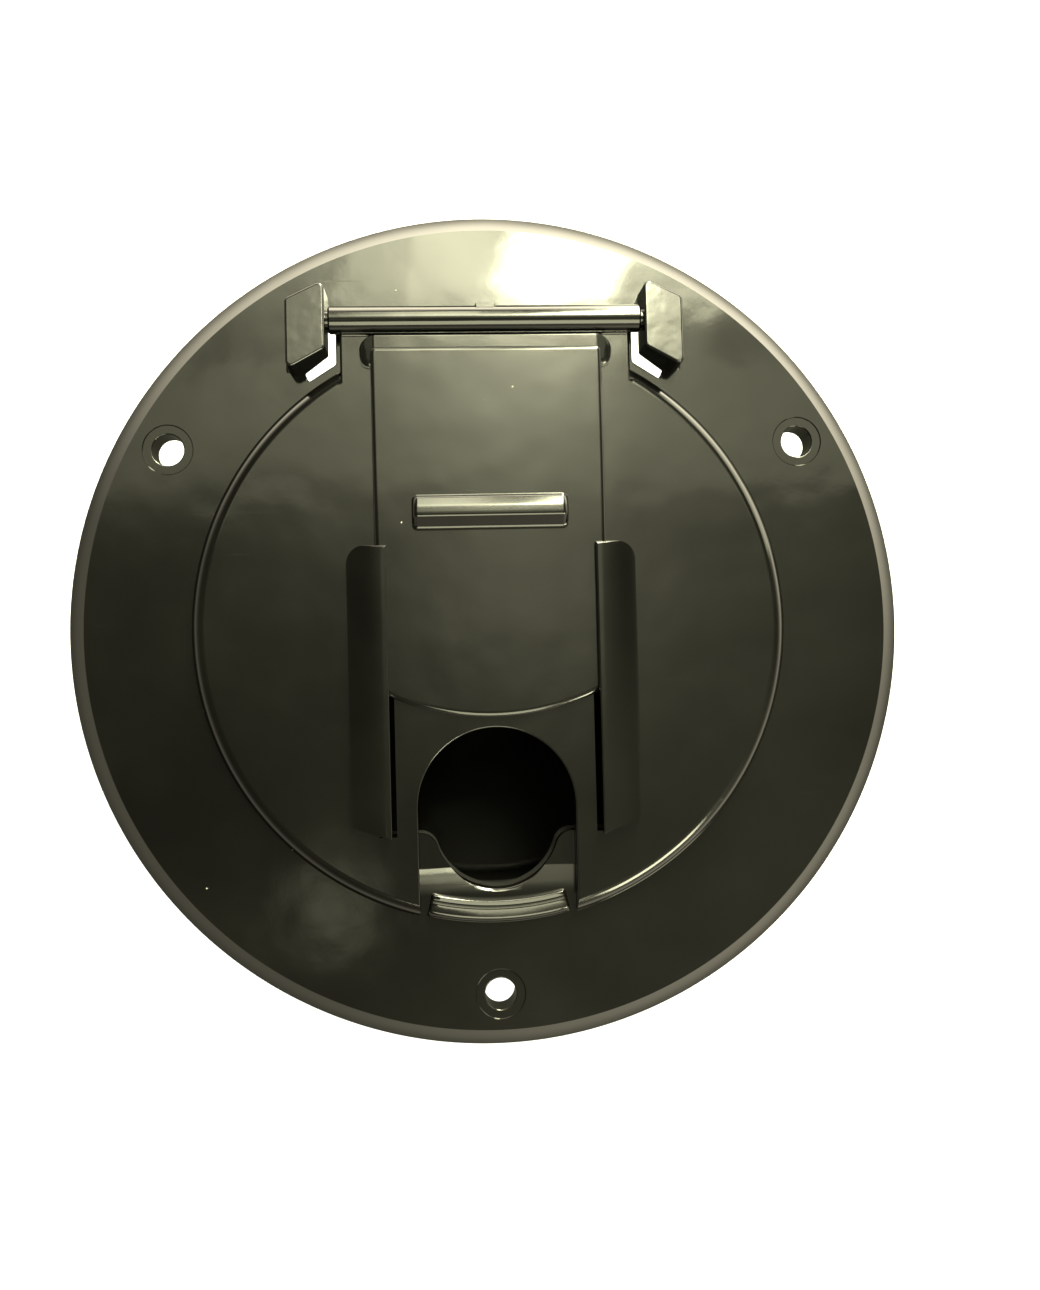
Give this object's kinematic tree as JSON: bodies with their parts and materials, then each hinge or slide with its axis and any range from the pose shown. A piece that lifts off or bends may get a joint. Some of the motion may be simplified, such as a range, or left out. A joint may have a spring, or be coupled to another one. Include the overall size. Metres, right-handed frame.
{
  "type": "cord hatch",
  "caption": "Round black plastic cord hatch: screw-on flange, hinged lid with a sliding cord door in rails, and a rear cup with a cord inlet.",
  "frame": {"origin": "centre of the flange's back face, where the three screw holes' circle is centred and the flange meets the panel", "axes": "+Z out of the panel, through the face; +Y from the centre towards the lid's hinge; +X to the right, seen from in front"},
  "size_m": [0.14, 0.14, 0.0504],
  "materials": {
    "flange": "satin moulded ABS, light grain",
    "cup": "satin moulded ABS, light grain",
    "lid": "satin moulded ABS, light grain",
    "door": "satin moulded ABS, light grain"
  },
  "bodies": {
    "base": {"flange": "flange", "rear_cup": "cup"},
    "lid": {"lid": "lid"},
    "slide_door": {"slide_door": "door"}
  },
  "joints": [
    {"name": "lid_hinge", "type": "hinge", "parent": "base", "child": "lid", "pos_m": [0, 0.0508, 0.009], "axis": [-1, 0, 0], "range_deg": [0, 175]},
    {"name": "door_slide", "type": "slide", "parent": "lid", "child": "slide_door", "axis": [0, -1, 0], "range_m": [0, 0.029]}
  ]
}
